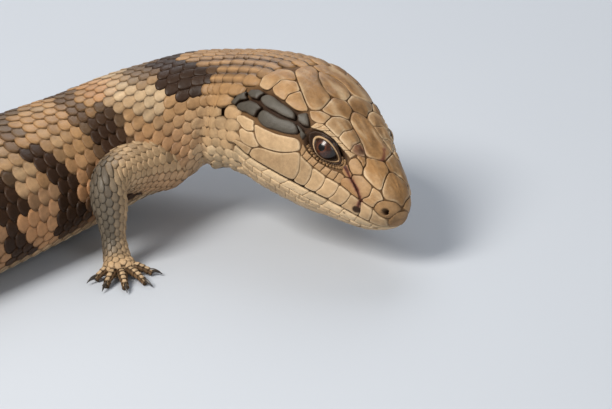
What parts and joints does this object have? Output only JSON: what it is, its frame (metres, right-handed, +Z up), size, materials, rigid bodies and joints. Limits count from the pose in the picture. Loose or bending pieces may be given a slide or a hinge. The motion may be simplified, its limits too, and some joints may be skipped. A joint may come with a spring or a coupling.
{
  "type": "blue tongued skink",
  "caption": "Life-size lizard resting on its belly, fore body raised on short legs, head and neck bent round to its right, tail curving back.",
  "frame": {"origin": "on the floor under the middle of the trunk, on the flat of the belly", "axes": "+X along the trunk towards the shoulders, +Y to the animal's left, +Z up"},
  "size_m": [0.3849, 0.2101, 0.0494],
  "materials": {
    "skin": "smooth glossy overlapping scales, tan and cream with dark brown bands, cream below",
    "claw": "dark polished horn",
    "eye": "wet glossy eyeball, reddish brown iris round a black pupil"
  },
  "bodies": {
    "root": {"head": "skin", "lower_jaw": "skin", "neck": "skin", "chest": "skin", "belly": "skin", "loin": "skin", "hips": "skin", "tail_base": "skin", "tail_middle": "skin", "tail_end": "skin", "eye_left": "eye", "eye_right": "eye", "fore_right_upper": "skin", "fore_right_lower": "skin", "fore_right_foot": "skin", "fore_right_claw_1": "claw", "fore_right_claw_2": "claw", "fore_right_claw_3": "claw", "fore_right_claw_4": "claw", "fore_right_claw_5": "claw", "fore_left_upper": "skin", "fore_left_lower": "skin", "fore_left_foot": "skin", "fore_left_claw_1": "claw", "fore_left_claw_2": "claw", "fore_left_claw_3": "claw", "fore_left_claw_4": "claw", "fore_left_claw_5": "claw", "hind_right_upper": "skin", "hind_right_lower": "skin", "hind_right_foot": "skin", "hind_right_claw_1": "claw", "hind_right_claw_2": "claw", "hind_right_claw_3": "claw", "hind_right_claw_4": "claw", "hind_right_claw_5": "claw", "hind_left_upper": "skin", "hind_left_lower": "skin", "hind_left_foot": "skin", "hind_left_claw_1": "claw", "hind_left_claw_2": "claw", "hind_left_claw_3": "claw", "hind_left_claw_4": "claw", "hind_left_claw_5": "claw"}
  },
  "joints": []
}
